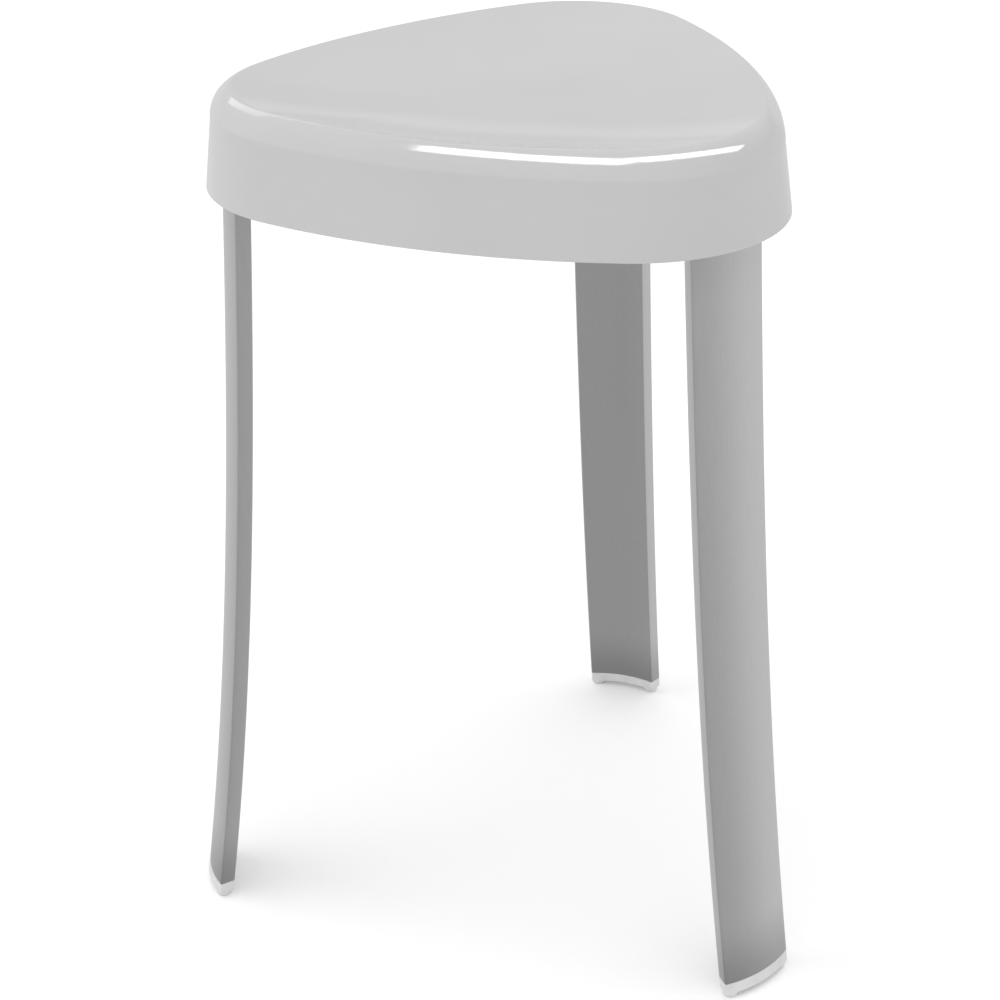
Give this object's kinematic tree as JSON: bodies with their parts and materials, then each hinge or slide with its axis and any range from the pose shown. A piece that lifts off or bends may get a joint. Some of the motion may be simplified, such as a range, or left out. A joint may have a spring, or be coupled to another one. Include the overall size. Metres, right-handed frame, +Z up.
{
  "type": "three-legged shower stool",
  "caption": "Shower stool with a rounded-triangle moulded seat, a shallow dish, and curved aluminium blade legs with rubber foot caps.",
  "frame": {"origin": "on the floor, under the middle of the stool's bounding box", "axes": "+Z up; +Y towards the back leg; +X towards the front right leg's side, so the plane x = 0 is the mirror plane"},
  "size_m": [0.3502, 0.3234, 0.4687],
  "materials": {
    "white_plastic": "smooth moulded white, glossy",
    "aluminium": "satin anodised",
    "cap_rubber": "pale matt rubber",
    "socket_plastic": "matt moulded light grey",
    "plug_plastic": "matt moulded dark grey",
    "steel": "plain stainless steel"
  },
  "bodies": {
    "root": {"seat_shell": "white_plastic", "leg_back": "aluminium", "foot_cap_back": "cap_rubber", "leg_socket_back": "socket_plastic", "leg_plug_back": "plug_plastic", "leg_screw_back_1": "steel", "socket_screw_back_1": "steel", "leg_screw_back_2": "steel", "socket_screw_back_2": "steel", "leg_front_left": "aluminium", "foot_cap_front_left": "cap_rubber", "leg_socket_front_left": "socket_plastic", "leg_plug_front_left": "plug_plastic", "leg_screw_front_left_1": "steel", "socket_screw_front_left_1": "steel", "leg_screw_front_left_2": "steel", "socket_screw_front_left_2": "steel", "leg_front_right": "aluminium", "foot_cap_front_right": "cap_rubber", "leg_socket_front_right": "socket_plastic", "leg_plug_front_right": "plug_plastic", "leg_screw_front_right_1": "steel", "socket_screw_front_right_1": "steel", "leg_screw_front_right_2": "steel", "socket_screw_front_right_2": "steel"}
  },
  "joints": []
}
